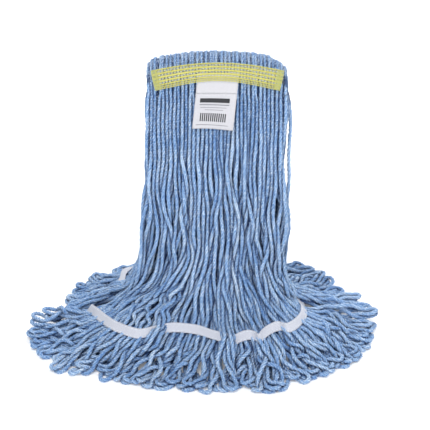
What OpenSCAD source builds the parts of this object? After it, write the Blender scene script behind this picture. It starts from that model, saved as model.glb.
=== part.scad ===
// Looped-end wet mop head: yarn folded over at the top, a mesh headband sewn
// across the front of the fold, and a skirt that stands spread on the floor.
// Front is -Y, up is +Z, and the floor is z = 0.

/* [Head] */
// Width of the yarn at the fold
head_w = 174; // [150:1:200]
// How far the fold stands to the side of the middle of the skirt
head_offset = 18; // [0:1:25]
// Height of the fold's top above the floor
stand_h = 376; // [360:1:400]
// Outer radius of the fold, from front to back
crown_r = 27; // [25:0.5:30]
// Radius that the fold and the headband arch along their length
arch_r = 350; // [300:10:600]

/* [Headband] */
// Width of the mesh tape, from its top edge to its bottom edge
band_h = 25; // [22:0.5:28]
// Length of the headband from end to end
band_len = 158; // [140:1:165]
// Thickness of the mesh tape
band_t = 1; // [0.6:0.1:1.2]
// Angle of the band's top edge above the middle of the fold, in degrees
band_top_angle = 38; // [30:1:50]
// Radius of the bar channel inside the fold, at the liner tape's face
channel_r = 8; // [7:0.5:8.5]
// Rows of stitching across the headband
stitch_rows = 4; // [3:1:5]

/* [Label] */
// Width of the sewn-in label
label_w = 50; // [40:1:60]
// Length of label that shows below the headband
label_h = 56; // [45:1:65]
// Thickness of the label
label_t = 0.6; // [0.4:0.1:1]
// How far the label leans out of plumb, in degrees
label_lean = 6; // [0:1:8]

/* [Skirt] */
// Width of the spread skirt on the floor
skirt_w = 472; // [440:2:500]
// Depth of the spread skirt on the floor, front to back
skirt_d = 362; // [340:2:372]
// Thickness of the skirt where the tail tape crosses it
skirt_t = 20; // [16:1:24]
// Height of the skirt's rim
rim_h = 10; // [8:1:14]
// Height at which each curtain starts to turn out
turn_z = 170; // [140:5:200]
// Height of the tail tape above the floor at the middle of each half
tail_z = 42; // [38:1:46]
// Width of the tail tape
tail_tape_w = 12.7; // [10:0.1:16]
// Bundles of looped yarn in each half
bundles = 8; // [4:1:10]

/* [Hidden] */
crown_z = stand_h - crown_r;            // centre of the fold's round
channel_z = crown_z - 5;                // centre of the bar channel
liner_t = 0.8;                          // thickness of the tape inside the fold
gap_y = channel_r + liner_t + 0.5;      // inner face of each half, from the middle plane
shell_gap = 0.3;                        // air between the fold and a tape on it
band_r = crown_r + shell_gap;           // inner face of the headband
band_low_angle = band_top_angle - band_h / (band_r + band_t / 2) * 180 / PI;
hem_len = 5;                            // each end of the band, turned back and sewn
hem_t = 0.6;
stitch_pitch = 4.5;                     // along the headband
stitch_len = 3.2;
thread_r = 0.45;
base_drop = 16;                         // straight yarn below the centre of the fold
fold_base_z = crown_z - base_drop;      // where the head ends and the two halves begin
half_top_z = fold_base_z - 1;
label_y = -(crown_r + 2.6);             // back face of the hanging label
label_top_z = crown_z - 6.5;            // where the label comes out under the headband
label_tuck = 4;                         // from the showing top down to the corner that clears the band
label_hinge_z = half_top_z + 0.5;
tail_x_centre = -6;                     // the tail tape's ring, on the floor plan
tail_a = 145;
tail_b = 93;
tail_drop = 16;                         // how much lower the tape lies at the sides
tape_t = 0.8;
tape_gap = 0.7;                         // air between the skirt and a tail tape
tail_thread_r = 0.4;
tail_stitches = 54;                     // in each row, across one half
middle_gap = 0.9;                       // from each half to the middle plane
seam_gap = 0.0012;                      // share of a half left open beside each bundle
columns = 4;                            // facets across a bundle
bend_steps = 4;                         // facets around the turn of the skirt
corner_share = 0.25;                    // where the turn's corner stands, from curtain to tape
tail_station = 1 + bend_steps;          // the tape's place in a strand's list of points

FRONT = -1;
BACK = 1;
FRONT_YARN = [for (k = [1:bundles]) str("front_yarn_", k)];
BACK_YARN = [for (k = [1:bundles]) str("back_yarn_", k)];
STITCHES = [for (k = [1:stitch_rows]) str("headband_stitch_row_", k)];

// ---- helpers ---------------------------------------------------------------

function mix(a, b, s) = a + (b - a) * s;
function unit(v) = v / norm(v);
function bend(a, corner, b, s) = mix(mix(a, corner, s), mix(corner, b, s), s);
function turned_over(rings) = [for (r = rings) [for (i = [len(r) - 1:-1:0]) r[i]]];

// A round rod from point a to point b.
module rod(a, b, r) {
    d = b - a;
    turn = atan2(d[1], d[0]);
    lean = acos(d[2] / norm(d));
    translate(a) rotate([0, lean, turn]) cylinder(h = norm(d), r = r, $fn = 16);
}

// A closed solid skinned over rings that all have the same number of corners.
module skin(rings) {
    n = len(rings[0]);
    last = len(rings) - 1;
    points = [for (ring = rings) each ring];
    // The closing side is split on its other diagonal, so that neighbours match.
    sides = [for (j = [0:last - 1]) for (i = [0:n - 1])
        let (a = j * n + i, b = j * n + (i + 1) % n)
        each (i < n - 1 ? [[a, b, b + n], [a, b + n, a + n]] : [[a, b, a + n], [b, b + n, a + n]])];
    // Each end ring runs out along one edge and back along the other.
    first_cap = [for (i = [0:n / 2 - 2])
        each [[i, n - 1 - i, n - 2 - i], [i, n - 2 - i, i + 1]]];
    last_cap = [for (f = turned_over(first_cap)) [for (v = f) v + last * n]];
    polyhedron(points = points, faces = concat(first_cap, sides, last_cap), convexity = 6);
}

// ---- the fold and the headband ---------------------------------------------

function arch_angle(length) = length / arch_r * 180 / PI;

// Turns a profile, drawn from the arch's centre, along the arch.
module along_arch(from, to) {
    translate([head_offset, 0, crown_z - arch_r])
        rotate([90, 0, 0]) rotate([0, 0, 90 - to])
            rotate_extrude(angle = to - from, $fn = 360) children();
}

// A place on the fold's face, as [height in the arch, depth]: round above its centre, plumb below.
function on_fold(a, r) = a > 0 ? [arch_r + r * sin(a), r * cos(a)] : [arch_r + r * a * PI / 180, r];

// A place on the headband: x degrees along the arch, a degrees up the fold, r out.
function on_band(x, a, r) =
    let (p = on_fold(a, r))
    [head_offset + p[0] * sin(x), -p[1], crown_z - arch_r + p[0] * cos(x)];

// The cross-section of a tape that lies on the fold.
module tape_section(r0, r1, a0, a1) {
    steps = 16;
    angles = [for (s = [0:steps]) mix(a0, a1, s / steps)];
    polygon(concat([for (a = angles) on_fold(a, r1)],
                   [for (s = [steps:-1:0]) on_fold(angles[s], r0)]));
}

module crown_yarn() {
    reach = arch_angle(head_w);
    color("cornflowerblue") difference() {
        intersection() {
            along_arch(-reach, reach) {
                translate([arch_r, 0]) circle(r = crown_r, $fn = 96);
                translate([arch_r - 2 * crown_r, -crown_r]) square([2 * crown_r, 2 * crown_r]);
            }
            translate([head_offset - head_w / 2, -head_w, fold_base_z])
                cube([head_w, 2 * head_w, stand_h]);
        }
        translate([head_offset - head_w, 0, channel_z]) rotate([0, 90, 0])
            cylinder(h = 2 * head_w, r = gap_y, $fn = 96);
        translate([head_offset - head_w, -gap_y, 0])
            cube([2 * head_w, 2 * gap_y, channel_z]);
    }
}

module headband_outer() {
    end = arch_angle(band_len / 2);
    color("khaki") along_arch(-end, end)
        tape_section(band_r, band_r + band_t, band_low_angle, band_top_angle);
}

module headband_hem(side) {
    inset = 1;
    end = arch_angle(band_len / 2);
    start = arch_angle(band_len / 2 - hem_len);
    r = band_r + band_t + 0.05;
    color("palegoldenrod") along_arch(side < 0 ? -end : start, side < 0 ? -start : end)
        tape_section(r, r + hem_t, band_low_angle + inset, band_top_angle - inset);
}

// The tape on the inside of the fold, which a handle's bar bears on.
module headband_liner() {
    color("khaki") translate([head_offset - band_len / 2, 0, channel_z])
        rotate([0, 90, 0]) difference() {
            cylinder(h = band_len, r = channel_r + liner_t, $fn = 96);
            translate([0, 0, -1]) cylinder(h = band_len + 2, r = channel_r, $fn = 96);
            translate([0, -2 * channel_r, -1]) cube([4 * channel_r, 4 * channel_r, band_len + 2]);
        }
}

module headband_stitch_row(row) {
    top_edge = 5;
    low_edge = 16;
    a = mix(band_top_angle - top_edge, band_low_angle + low_edge, (row - 1) / (stitch_rows - 1));
    r = band_r + band_t + thread_r + 0.05;
    count = floor((band_len - 2 * hem_len - 2) / stitch_pitch);
    color("aliceblue") for (i = [0:count - 1]) {
        x = (i - (count - 1) / 2) * stitch_pitch;
        rod(on_band(arch_angle(x - stitch_len / 2), a, r),
            on_band(arch_angle(x + stitch_len / 2), a, r), thread_r);
    }
}

// ---- the label ---------------------------------------------------------------

module label_strip(top, bottom, y) {
    translate([head_offset, y, label_hinge_z]) rotate([0, label_lean, 0])
        translate([-label_w / 2, -label_t, bottom - label_hinge_z])
            cube([label_w, label_t, top - bottom]);
}

// The part of the label that is sewn in and stays with the head.
module label_sewn_edge() {
    color("white") label_strip(label_top_z - label_tuck, fold_base_z + 0.6, -(crown_r + shell_gap));
}

module label() {
    color("white") label_strip(label_hinge_z - 1, label_top_z - label_h, label_y);
}

// ---- yarn ----------------------------------------------------------------------
// t runs from 0 at the left of a half to 1 at the right. Each half is a thick
// curtain that turns out near the floor and spreads into its side of the skirt.

function out_x(t) = -cos(180 * t);
function out_y(t) = sin(180 * t);
function head_x(t) = head_offset + (t - 0.5) * head_w;
function tail(t) = [tail_x_centre + tail_a * out_x(t), middle_gap + tail_b * out_y(t),
                    tail_z - tail_drop * (1 - out_y(t))];
function rim(t, z) = [skirt_w / 2 * out_x(t),
                      middle_gap + (skirt_d / 2 - middle_gap) * out_y(t), z];

// The upper, outer face of the yarn, from the fold to the loops' ends.
function outer(t) =
    let (top = [head_x(t), crown_r, half_top_z],
         turn = [head_x(t) + 4 * out_x(t), crown_r + 4, turn_z],
         corner = mix([turn[0], turn[1], tail(t)[2]], tail(t), corner_share) + [0, 0, 12])
    concat([top], [for (s = [0:bend_steps]) bend(turn, corner, tail(t), s / bend_steps)],
           [mix(tail(t), rim(t, rim_h), 0.5), rim(t, rim_h)]);

// The lower, inner face of the same yarn.
function inner(t) =
    let (top = [head_x(t), gap_y, half_top_z],
         turn = [head_x(t), gap_y, turn_z],
         low = tail(t) - [0.03 * tail_a * out_x(t), 0.03 * tail_b * out_y(t), skirt_t],
         corner = [mix(turn[0], low[0], corner_share), mix(gap_y, low[1], corner_share), low[2]])
    concat([top], [for (s = [0:bend_steps]) bend(turn, corner, low, s / bend_steps)],
           [mix(low, rim(t, 0), 0.35) * [[1, 0, 0], [0, 1, 0], [0, 0, 0]], rim(t, 0)]);

function facing(p, side) = [p[0], side * p[1], p[2]];

module yarn_bundle(k, side) {
    ts = [for (i = [0:columns]) mix((k - 1) / bundles + seam_gap, k / bundles - seam_gap, i / columns)];
    outside = [for (t = ts) outer(t)];
    inside = [for (t = ts) inner(t)];
    rings = [for (j = [0:len(outside[0]) - 1]) concat(
        [for (i = [0:columns]) facing(outside[i][j], side)],
        [for (i = [columns:-1:0]) facing(inside[i][j], side)])];
    color("cornflowerblue") skin(side == FRONT ? rings : turned_over(rings));
}

// ---- tail tapes ------------------------------------------------------------------

// A point on a face of the yarn, d millimetres past the tape's middle towards the rim.
function past_tail(face, d) =
    let (p = face[tail_station], q = face[tail_station + (d < 0 ? -1 : 1)])
    p + unit(q - p) * abs(d);

// Straight off the skirt's slope.
function lift(t, up) = up * unit([out_x(t), out_y(t), 2.7]);

module tail_tape(side, on_top) {
    stations = bundles * columns;
    near = on_top ? tape_gap : -tape_gap;
    far = on_top ? tape_gap + tape_t : -tape_gap - tape_t;
    rings = [for (i = [0:stations])
        let (t = mix(0.008, 0.992, i / stations), face = on_top ? outer(t) : inner(t),
             across = [for (d = [-0.5, 0, 0.5]) past_tail(face, d * tail_tape_w)])
        concat([for (p = across) facing(p + lift(t, near), side)],
               [for (j = [2:-1:0]) facing(across[j] + lift(t, far), side)])];
    color("white") skin((side == FRONT) != on_top ? rings : turned_over(rings));
}

module tail_stitching(side) {
    edge = 2;
    stitch = 0.011;
    off = tape_gap + tape_t + tail_thread_r + 0.3;
    color("whitesmoke") for (row = [-1, 1]) for (i = [0:tail_stitches - 1]) {
        t = mix(0.02, 0.968, i / (tail_stitches - 1));
        ends = [for (u = [t, t + stitch])
            facing(past_tail(outer(u), row * (tail_tape_w / 2 - edge)) + lift(u, off), side)];
        rod(ends[0], ends[1], tail_thread_r);
    }
}

// ---- nodes -----------------------------------------------------------------------

crown_yarn();
headband_outer();
headband_liner();
headband_hem(-1);  // headband_hem_left
headband_hem(1);  // headband_hem_right
for (row = [1:stitch_rows])
    headband_stitch_row(row);
label_sewn_edge();
label();
for (k = [1:bundles]) {
    yarn_bundle(k, FRONT);
    yarn_bundle(k, BACK);
}
tail_tape(FRONT, true);  // front_tail_tape_outer
tail_tape(FRONT, false);  // front_tail_tape_inner
tail_stitching(FRONT);  // front_tail_stitching
tail_tape(BACK, true);  // back_tail_tape_outer
tail_tape(BACK, false);  // back_tail_tape_inner
tail_stitching(BACK);  // back_tail_stitching
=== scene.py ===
import bpy, bmesh, math
import numpy as np
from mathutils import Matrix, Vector


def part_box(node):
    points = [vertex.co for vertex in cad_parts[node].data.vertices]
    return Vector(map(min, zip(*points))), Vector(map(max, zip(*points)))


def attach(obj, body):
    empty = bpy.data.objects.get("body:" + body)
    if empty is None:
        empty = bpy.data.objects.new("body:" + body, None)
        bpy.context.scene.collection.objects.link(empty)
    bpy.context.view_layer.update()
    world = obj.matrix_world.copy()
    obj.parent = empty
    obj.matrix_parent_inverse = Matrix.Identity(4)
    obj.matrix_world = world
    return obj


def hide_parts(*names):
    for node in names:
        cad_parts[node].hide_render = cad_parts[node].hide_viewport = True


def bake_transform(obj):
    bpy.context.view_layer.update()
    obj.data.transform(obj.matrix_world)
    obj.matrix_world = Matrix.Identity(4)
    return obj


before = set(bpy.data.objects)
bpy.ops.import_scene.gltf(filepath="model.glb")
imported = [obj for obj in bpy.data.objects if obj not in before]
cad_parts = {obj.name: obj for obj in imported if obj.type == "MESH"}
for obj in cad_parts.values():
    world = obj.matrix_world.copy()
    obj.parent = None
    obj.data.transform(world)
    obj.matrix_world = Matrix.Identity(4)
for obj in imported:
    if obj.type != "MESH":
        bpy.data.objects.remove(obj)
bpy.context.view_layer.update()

# A looped-end wet mop head standing on its spread skirt. Metres throughout, front is -Y, the floor is z = 0.

mm = 0.001
rng = np.random.default_rng(24)
scene = bpy.context.scene

crownLow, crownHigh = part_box("crown_yarn")
headCentre = (crownLow.x + crownHigh.x) / 2
headWide = crownHigh.x - crownLow.x
foldRadius = crownHigh.y
foldZ = crownHigh.z - foldRadius                      # centre line of the round of the fold
hingeZ = crownLow.z - 0.5 * mm                        # where the head ends and the two halves swing

# Camera and light; each lamp has its place, its size and its power
studio = {"lens": 90.0, "sensor": 36.0, "distance": 1.365, "elevation": 24.0, "aim": (0.015, -0.022, 0.168),
          "lamps": (("keyLight", (-0.35, -1.35, 1.9), 1.4, 40.0), ("fillLight", (1.3, -1.0, 0.9), 1.4, 9.0),
                    ("rimLight", (0.3, 1.3, 1.4), 1.2, 26.0)), "lampAim": (0, 0, 0.15),
          "sky": 0.20, "skyFrom": 0.34, "horizon": 1.0, "horizonTo": 0.16,
          "glowNear": 0.16, "glowFar": 0.60, "glowFrom": 0.26, "glowTo": 0.75}

cameraData = bpy.data.cameras.new("productCamera")
cameraData.lens = studio["lens"]
cameraData.sensor_width = studio["sensor"]
camera = bpy.data.objects.new("productCamera", cameraData)
scene.collection.objects.link(camera)
lookDown = math.radians(studio["elevation"])
backOff = Vector((0, -math.cos(lookDown), math.sin(lookDown))) * studio["distance"]
camera.location = Vector(studio["aim"]) + backOff
camera.rotation_euler = (math.pi / 2 - lookDown, 0, 0)
scene.camera = camera


def toLinear(hexColour):
    parts = [int(hexColour[i:i + 2], 16) / 255 for i in (1, 3, 5)]
    return tuple(c / 12.92 if c <= 0.04045 else ((c + 0.055) / 1.055) ** 2.4 for c in parts) + (1.0,)


def addNode(tree, kind, settings=None, **links):
    # settings are sockets by name or number, "stops" of a ramp, or the node's own; i3=socket links by number
    node = tree.nodes.new(kind)
    for name, value in (settings or {}).items():
        if name == "stops":
            while len(node.color_ramp.elements) < len(value):
                node.color_ramp.elements.new(0.5)
            for element, (place, colour) in zip(node.color_ramp.elements, value):
                element.position = place
                element.color = toLinear(colour)
        elif isinstance(name, int) or name in node.inputs:
            node.inputs[name].default_value = value
        else:
            setattr(node, name, value)
    for name, source in links.items():
        numbered = name[0] == "i" and name[1:].isdigit()
        tree.links.new(source, node.inputs[int(name[1:]) if numbered else name.replace("_", " ")])
    return node


def newMaterial(name, shaderSettings):
    material = bpy.data.materials.new(name)
    material.use_nodes = True
    tree = material.node_tree
    shader = tree.nodes["Principled BSDF"]
    for socket, value in shaderSettings.items():
        shader.inputs[socket].default_value = value
    return material, tree, shader


# Recycled cotton and polyester yarn, carded and plied soft: matt and fuzzy, with pale flecks and streaks of
# undyed fibre. Painted shade darkens it in the grooves between its plies and where strands lie close together.
# The flecks are drawn at 1.4 mm, coarser than the real fibres, so that they show.
# groove and shade are painted shade colours: for the ply grooves, and for strands lying behind or against
# others
yarnFinish = {"deep": "#557CB6", "body": "#8CB2DE", "pale": "#D8E8F6", "fibre": "#EEF5FC", "groove": "#3A629E",
              "shade": "#0A285A", "sheen": "#DCE8FA", "streakMm": 0.9, "streakLongMm": 7.0, "fleckMm": 1.4,
              "patchMm": 18.0, "streakShare": 0.35, "fleckShare": 0.85, "patchShare": 0.15,
              "ramp": (0.55, 0.665, 0.79), "bump": 1.0, "bumpDeep": 0.45 * mm}


def makeYarnMaterial():
    material, tree, shader = newMaterial("recycledCottonYarn", {
        "Roughness": 0.95, "Sheen Weight": 0.15, "Sheen Roughness": 0.5, "Specular IOR Level": 0.15,
        "Sheen Tint": toLinear(yarnFinish["sheen"])})
    where = addNode(tree, "ShaderNodeTexCoord").outputs["Object"]
    along = addNode(tree, "ShaderNodeAttribute", {"attribute_name": "yarnPlace"}).outputs["Vector"]
    across, long = 1 / (yarnFinish["streakMm"] * mm), 1 / (yarnFinish["streakLongMm"] * mm)
    along = addNode(tree, "ShaderNodeMapping", {"Scale": (across, across, long)}, Vector=along).outputs[0]
    streak = addNode(tree, "ShaderNodeTexNoise", {"Scale": 1.0, "Detail": 3.0, "Roughness": 0.6},
                     Vector=along).outputs["Fac"]
    fleck = addNode(tree, "ShaderNodeTexNoise", {"Scale": 1 / (yarnFinish["fleckMm"] * mm), "Detail": 4.0,
                                                 "Roughness": 0.75}, Vector=where).outputs["Fac"]
    patch = addNode(tree, "ShaderNodeTexNoise", {"Scale": 1 / (yarnFinish["patchMm"] * mm), "Detail": 2.0},
                    Vector=where).outputs["Fac"]
    mixed = addNode(tree, "ShaderNodeAttribute", {"attribute_name": "strandTone"}).outputs["Fac"]
    for part, share in ((streak, "streakShare"), (fleck, "fleckShare"), (patch, "patchShare")):
        mixed = addNode(tree, "ShaderNodeMath", {"operation": "MULTIPLY_ADD", 1: yarnFinish[share]},
                        i0=part, i2=mixed).outputs[0]
    stops = list(zip(yarnFinish["ramp"], (yarnFinish["deep"], yarnFinish["body"], yarnFinish["pale"])))
    colour = addNode(tree, "ShaderNodeValToRGB", {"stops": stops}, i0=mixed).outputs["Color"]
    # painted shade: the colour is darkened in the ply grooves and where strands lie behind or against others
    for attribute, darker in (("plyGroove", "groove"), ("buried", "shade")):
        amount = addNode(tree, "ShaderNodeAttribute", {"attribute_name": attribute}).outputs["Fac"]
        colour = addNode(tree, "ShaderNodeMix", {"data_type": "RGBA", 7: toLinear(yarnFinish[darker])},
                         i0=amount, i6=colour).outputs[2]
    tree.links.new(colour, shader.inputs["Base Color"])
    rough = addNode(tree, "ShaderNodeMath", {"operation": "ADD"}, i0=streak, i1=fleck).outputs[0]
    bump = addNode(tree, "ShaderNodeBump", {"Strength": yarnFinish["bump"], "Distance": yarnFinish["bumpDeep"]},
                   Height=rough)
    tree.links.new(bump.outputs["Normal"], shader.inputs["Normal"])
    return material


# Polyester mesh tape, woven from flat yellow thread: a low sheen, and paler where its hem is doubled.
bandFinish = {"deep": "#B2AE4A", "pale": "#D4D07C", "hemDeep": "#A9AD5C", "hemPale": "#C6C888", "grainMm": 0.6}
# Cotton twill tape, bleached: matt white with a fine slanted rib, drawn at 2.2 mm where the real one is 0.8.
tapeFinish = {"deep": "#A6AAB9", "pale": "#CDD0DA", "twillMm": 2.2, "fluffMm": 1.3, "ribShare": 0.45,
              "ramp": (0.40, 0.85), "bump": 0.6, "bumpDeep": 0.3 * mm}
# Spunbonded label paper: smooth, matt and faintly cloudy. Its printed marks are dark, dull ink.
labelFinish = {"deep": "#B4B4BA", "pale": "#C0C0C6", "ink": "#2A2B2F", "softInk": "#77797F", "fibreMm": 1.2}
# Bonded polyester sewing thread, two-ply: pale, with a little gloss.
threadFinish = {"deep": "#C3CEDC", "pale": "#EEF3F7", "plyMm": 0.6}


def makeFabric(name, finish, low, high, scaleMm, settings, bumpDeep):
    # a plain weave or paper: one fine grain between two tones, with a slight bump
    material, tree, shader = newMaterial(name, settings)
    where = addNode(tree, "ShaderNodeTexCoord").outputs["Object"]
    grain = addNode(tree, "ShaderNodeTexNoise", {"Scale": 1 / (scaleMm * mm), "Detail": 4.0, "Roughness": 0.65},
                    Vector=where).outputs["Fac"]
    stops = [(0.28, finish[low]), (0.72, finish[high])]
    colour = addNode(tree, "ShaderNodeValToRGB", {"stops": stops}, i0=grain)
    tree.links.new(colour.outputs["Color"], shader.inputs["Base Color"])
    bump = addNode(tree, "ShaderNodeBump", {"Strength": 0.4, "Distance": bumpDeep}, Height=grain)
    tree.links.new(bump.outputs["Normal"], shader.inputs["Normal"])
    return material


def makeTwill():
    # slanted ribs that follow the cloth's own place
    material, tree, shader = newMaterial("bleachedTwillTape", {"Roughness": 0.85, "Sheen Weight": 0.15})
    cloth = addNode(tree, "ShaderNodeAttribute", {"attribute_name": "clothPlace"}).outputs["Vector"]
    ribs = addNode(tree, "ShaderNodeTexWave", {
        "wave_type": "BANDS", "bands_direction": "DIAGONAL", "Scale": 0.628 / (tapeFinish["twillMm"] * mm),
        "Distortion": 1.2, "Detail": 2.0}, Vector=cloth).outputs["Fac"]
    fluff = addNode(tree, "ShaderNodeTexNoise", {"Scale": 1 / (tapeFinish["fluffMm"] * mm), "Detail": 4.0},
                    Vector=cloth).outputs["Fac"]
    mixed = addNode(tree, "ShaderNodeMath", {"operation": "MULTIPLY_ADD", 1: tapeFinish["ribShare"]},
                    i0=ribs, i2=fluff).outputs[0]
    stops = list(zip(tapeFinish["ramp"], (tapeFinish["deep"], tapeFinish["pale"])))
    colour = addNode(tree, "ShaderNodeValToRGB", {"stops": stops}, i0=mixed)
    tree.links.new(colour.outputs["Color"], shader.inputs["Base Color"])
    bump = addNode(tree, "ShaderNodeBump", {"Strength": tapeFinish["bump"], "Distance": tapeFinish["bumpDeep"]},
                   Height=mixed)
    tree.links.new(bump.outputs["Normal"], shader.inputs["Normal"])
    return material


yarnMaterial = makeYarnMaterial()
tapeMaterial = makeTwill()
weave = {"Roughness": 0.6, "Sheen Weight": 0.2}
bandMaterial = makeFabric("wovenPolyesterMesh", bandFinish, "deep", "pale", bandFinish["grainMm"], weave,
                          0.1 * mm)
hemMaterial = makeFabric("wovenPolyesterHem", bandFinish, "hemDeep", "hemPale", bandFinish["grainMm"], weave,
                         0.1 * mm)
# single cotton fibres, paler than the yarn because light comes through them
fibreMaterial = makeFabric("looseCottonFibre", yarnFinish, "body", "fibre", yarnFinish["fleckMm"],
                           {"Roughness": 1.0}, 0.02 * mm)
labelMaterial = makeFabric("spunbondedLabelPaper", labelFinish, "deep", "pale", labelFinish["fibreMm"],
                           {"Roughness": 0.7}, 0.05 * mm)
inkMaterial = makeFabric("matteLabelInk", labelFinish, "ink", "ink", labelFinish["fibreMm"],
                         {"Roughness": 0.8}, 0.02 * mm)
softInkMaterial = makeFabric("thinLabelInk", labelFinish, "softInk", "softInk", labelFinish["fibreMm"],
                             {"Roughness": 0.8}, 0.02 * mm)
threadMaterial = makeFabric("bondedPolyesterThread", threadFinish, "deep", "pale", threadFinish["plyMm"],
                            {"Roughness": 0.5}, 0.05 * mm)
print("mop: materials made")

# Strands: how many leave each side of the fold, how they are plied, and how they wander as they hang
yarn = {"legs": 180, "diameter": 5.1 * mm, "layers": 5, "layerStep": 3.9 * mm, "plies": 4, "plyPitch": 24 * mm,
        "ringStep": 3.3 * mm, "solverStep": 5.5 * mm, "seamAngle": 20.0, "declared": 20, "banks": 4,
        "waveTop": 2.2 * mm, "waveLow": 3.6 * mm, "placeJitter": 0.8 * mm, "lockSize": 7, "lockWave": 3.2 * mm,
        "slack": 9 * mm, "lumps": 0.075, "grooveShadeAmount": 0.45, "toneSpread": 0.018, "strayFrom": 0.996,
        "strayOut": 6 * mm, "strayGap": 4 * mm, "headSqueeze": 0.87, "fluff": 0.10,
        "pitchSpread": (0.85, 1.2), "slubs": 0.035, "slubWaves": (0.011, 0.017, 0.037)}
# The top of the fold is an arch whose ends drop away over the last part of the head
fold = {"archRadius": 0.350, "leftShoulder": 10 * mm, "rightShoulder": 15 * mm, "leftFrom": 0.84,
        "rightFrom": 0.62}
skirt = {"centre": (-6 * mm, 0.9 * mm), "tapeWide": 145 * mm, "tapeDeep": 93 * mm, "tapeZ": 42 * mm,
         "tapeDrop": 16 * mm, "pile": 20 * mm,
         "turn": {-1: (118 * mm, 125 * mm, 85 * mm), 1: (150 * mm, 125 * mm, 85 * mm)}}
# The run of each tail tape and of the loops' outer edge, left to right, in millimetres on the floor plan
tailRun = {-1: [(-152, -14), (-141, -35), (-128, -60), (-115, -79), (-102, -91), (-90, -99), (-79, -103),
                (-68, -99), (-58, -94), (-48, -90), (-36, -87), (-22, -89), (-6, -94), (10, -104), (26, -113),
                (38, -119), (47, -111), (57, -106), (65, -109), (70, -116), (76, -103), (86, -90), (96, -83),
                (105, -88), (113, -83), (122, -68), (130, -44), (133, -14), (130, 10)],
           1: [(-122, 10), (-118, 32), (-113, 54), (-110, 72), (-92, 88), (-66, 98), (-30, 102), (10, 103),
               (48, 98), (78, 86), (97, 68), (108, 46), (116, 26), (121, 8)]}
rimRun = {-1: [(-212, -4), (-228, -12), (-232, -34), (-214, -79), (-196, -103), (-171, -115), (-140, -128),
               (-108, -146), (-69, -164), (-25, -172), (14, -172), (42, -152), (50, -156), (76, -176),
               (116, -157), (157, -134), (186, -113), (211, -72), (226, -36), (232, -12), (222, -4)],
          1: [(-184, 6), (-191, 34), (-189, 62), (-182, 92), (-171, 110), (-150, 135), (-126, 152), (-90, 164),
              (-40, 171), (20, 173), (80, 171), (130, 168), (156, 156), (170, 134), (186, 112), (198, 78),
              (212, 50), (224, 24), (230, 8)]}
# Places along the front tape where strands lie over it, in millimetres across the mop
overTape = [(-62, -51), (24, 39)]
overBackTape = 34 * mm                                # nearer the front than this, they lie over the back tape
front, back = -1, 1
bodyOf = {front: "front_half", back: "back_half"}
wordOf = {front: "front", back: "back"}


def smooth(a, b, x):
    u = np.clip((x - a) / (b - a), 0, 1)
    return u * u * (3 - 2 * u)


def smoothThrough(points, shares):
    # a smooth curve through all the points, with places at the given shares of each step
    padded = np.concatenate([[2 * points[0] - points[1]], points, [2 * points[-1] - points[-2]]])
    a, b, c, d = padded[:-3], padded[1:-2], padded[2:-1], padded[3:]
    square, cube = 2 * a - 5 * b + 4 * c - d, 3 * b - a - 3 * c + d
    fine = [0.5 * (2 * b + (c - a) * u + square * u * u + cube * u ** 3) for u in shares]
    return np.concatenate([np.stack(fine, axis=1).reshape(-1, points.shape[1]), points[-1:]])


def walkAlong(points):
    # how far along the line each point is
    return np.concatenate([[0], np.cumsum(np.linalg.norm(np.diff(points, axis=0), axis=1))])


def curveThrough(corners):
    # a curve on the floor plan, walked by its share of the whole length
    dense = smoothThrough(np.array(corners, float) * mm, np.linspace(0, 0.95, 20))
    walked = walkAlong(dense)
    return lambda share: np.array([np.interp(share * walked[-1], walked, dense[:, k]) for k in range(2)])


tailCurve = {side: curveThrough(tailRun[side]) for side in (front, back)}
rimCurve = {side: curveThrough(rimRun[side]) for side in (front, back)}


def tapeLine(share, side):
    # a place on the tail tape's centre line, and which way is outward from there
    x, y = tailCurve[side](share)
    cx, cy = skirt["centre"]
    outward = np.array([(x - cx) / skirt["tapeWide"] ** 2, (y - side * cy) / skirt["tapeDeep"] ** 2, 0.0])
    outward /= np.linalg.norm(outward)
    inward = 1 - min(1.0, abs(y) / skirt["tapeDeep"])
    return np.array([x, y, skirt["tapeZ"] - skirt["tapeDrop"] * inward ** 1.5]), outward


def resample(points, step):
    # evenly spaced points along a line
    walked = walkAlong(points)
    count = max(8, int(round(walked[-1] / step)) + 1)
    places = np.linspace(0, walked[-1], count)
    return np.stack([np.interp(places, walked, points[:, k]) for k in range(3)], axis=1)


def wander(length, waves, amplitude):
    # a gentle random wave along a strand, made of a few wavelengths
    phases = rng.uniform(0, 2 * math.pi, len(waves))
    parts = [np.sin(2 * math.pi * length / w + p) for w, p in zip(waves, phases)]
    return amplitude * sum(parts) / math.sqrt(len(waves))


def foldDrop(x):
    # how far the top of the fold lies below its middle
    edge = (x - headCentre) / (headWide / 2)
    shoulder = np.where(edge < 0, fold["leftShoulder"], fold["rightShoulder"])
    start = np.where(edge < 0, fold["leftFrom"], fold["rightFrom"])
    arch = (x - headCentre) ** 2 / (2 * fold["archRadius"])
    return arch + shoulder * np.maximum(0.0, (abs(edge) - start) / (1 - start)) ** 2


# Each strand's own place across the head and its layer in the fold; inner layers puff up between outer ones
layerOrder = (0, 2, 4, 1, 3)
layerPuff = (0, 2.6, 4.0, 3.0, 2.0)
strandPlace = []
for i in range(yarn["legs"]):
    layer = layerOrder[i % yarn["layers"]]
    along = (i + 0.5) / yarn["legs"]
    x = headCentre + (along - 0.5) * (headWide - yarn["diameter"]) + rng.normal(0, yarn["placeJitter"])
    x = min(max(x, crownLow.x + yarn["diameter"] / 2), crownHigh.x - yarn["diameter"] / 2)
    radius = foldRadius - yarn["diameter"] / 2 - layer * yarn["layerStep"]
    puff = rng.normal(0, 0.4 * mm) + layerPuff[layer] * mm
    strandPlace.append({"along": along, "x": x, "radius": radius, "puff": puff})


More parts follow.
